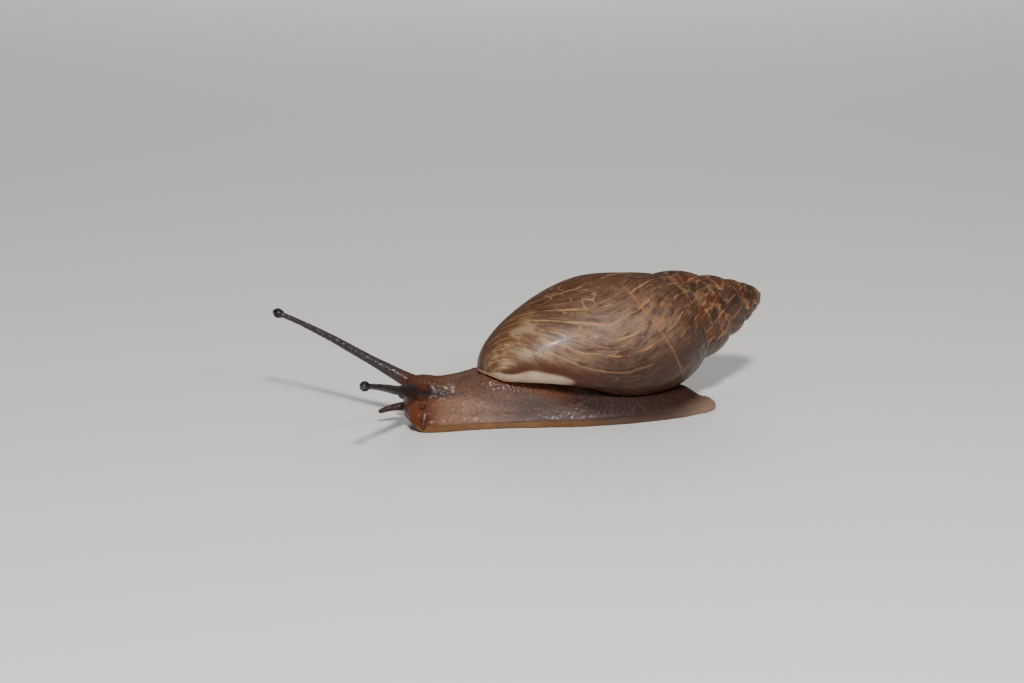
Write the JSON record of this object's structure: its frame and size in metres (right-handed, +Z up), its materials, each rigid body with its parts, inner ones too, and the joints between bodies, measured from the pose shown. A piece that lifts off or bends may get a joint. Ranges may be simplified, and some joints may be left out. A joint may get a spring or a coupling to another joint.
{
  "type": "rosy wolfsnail",
  "caption": "Life-size rosy wolfsnail gliding on its foot, tapered coiled shell over its back, long tentacles held out, as a still museum model.",
  "frame": {"origin": "on the floor, under the middle of the whole animal's box", "axes": "+X toward the tail and the tip of the shell, the head points to -X; +Y to the animal's right; +Z up"},
  "size_m": [0.085, 0.0388, 0.0243],
  "materials": {
    "shell": "glossy brown shell with growth lines",
    "skin": "wet, soft, slightly see-through skin",
    "eye": "wet black"
  },
  "bodies": {
    "root": {"shell": "shell", "head": "skin", "neck": "skin", "foot_front": "skin", "foot_rear": "skin", "tail": "skin", "mantle_collar": "skin", "upper_tentacle_right_root": "skin", "upper_tentacle_right_tip": "skin", "upper_tentacle_left_root": "skin", "upper_tentacle_left_tip": "skin", "lower_tentacle_right": "skin", "lower_tentacle_left": "skin", "labial_palp_right": "skin", "labial_palp_left": "skin", "eye_right": "eye", "eye_left": "eye"}
  },
  "joints": []
}
